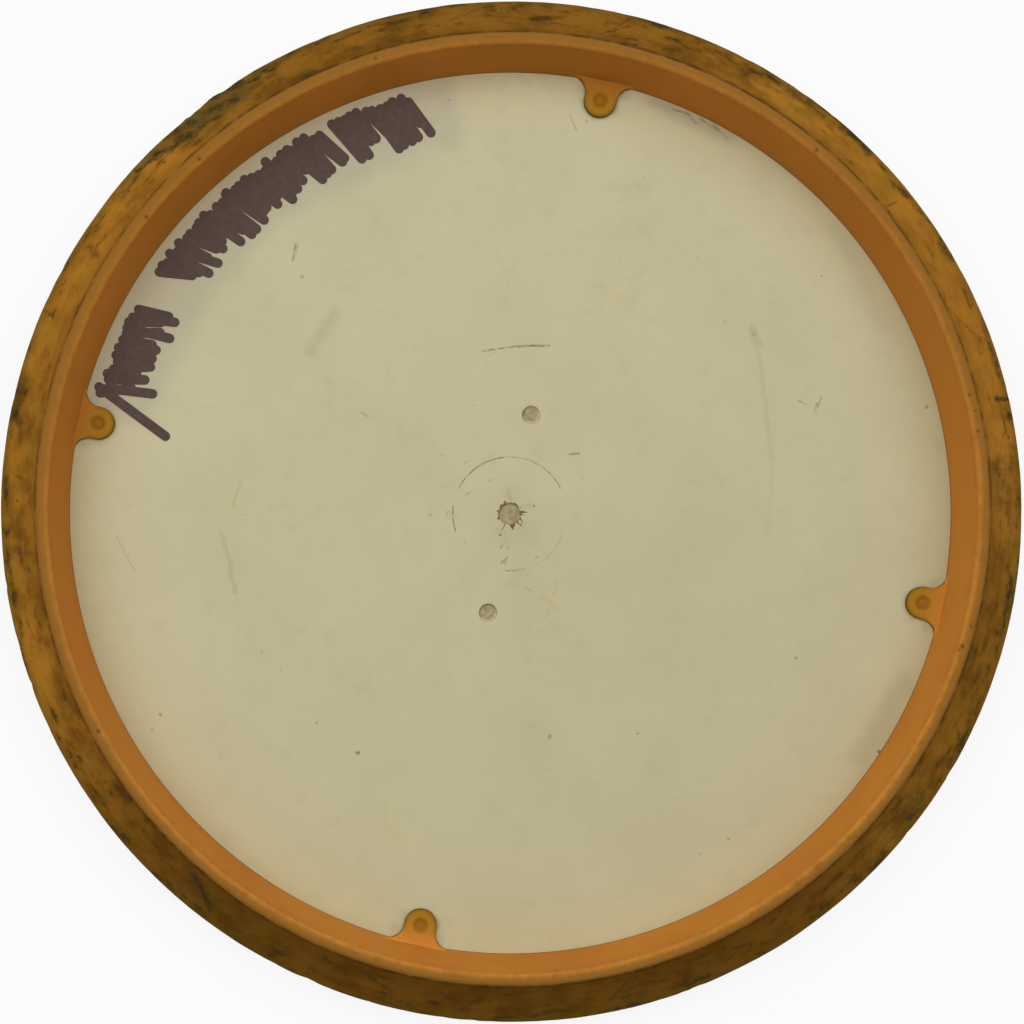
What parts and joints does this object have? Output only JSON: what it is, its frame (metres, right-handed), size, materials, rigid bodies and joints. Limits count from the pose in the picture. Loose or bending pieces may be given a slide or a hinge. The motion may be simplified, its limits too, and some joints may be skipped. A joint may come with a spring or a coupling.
{
  "type": "flying disc",
  "caption": "Round throwing disc: a stiff cream flight plate locked into a softer amber rim with a beaded mouth and gate tabs, lying with its hollow side up.",
  "frame": {"origin": "centre of the flight plate's outer face, which lies on the ground", "axes": "+Z along the disc's axis out of the hollow side, so the disc lies upside down as pictured; the gate tabs stand on X and Y, and the pin marks on Y"},
  "size_m": [0.216, 0.216, 0.019],
  "materials": {
    "core_plastic": "cream, satin, scuffed and dusty",
    "rim_plastic": "amber, satin, grimy along the bead and wing"
  },
  "bodies": {
    "root": {"flight_plate": "core_plastic", "overmould_rim": "rim_plastic"}
  },
  "joints": []
}
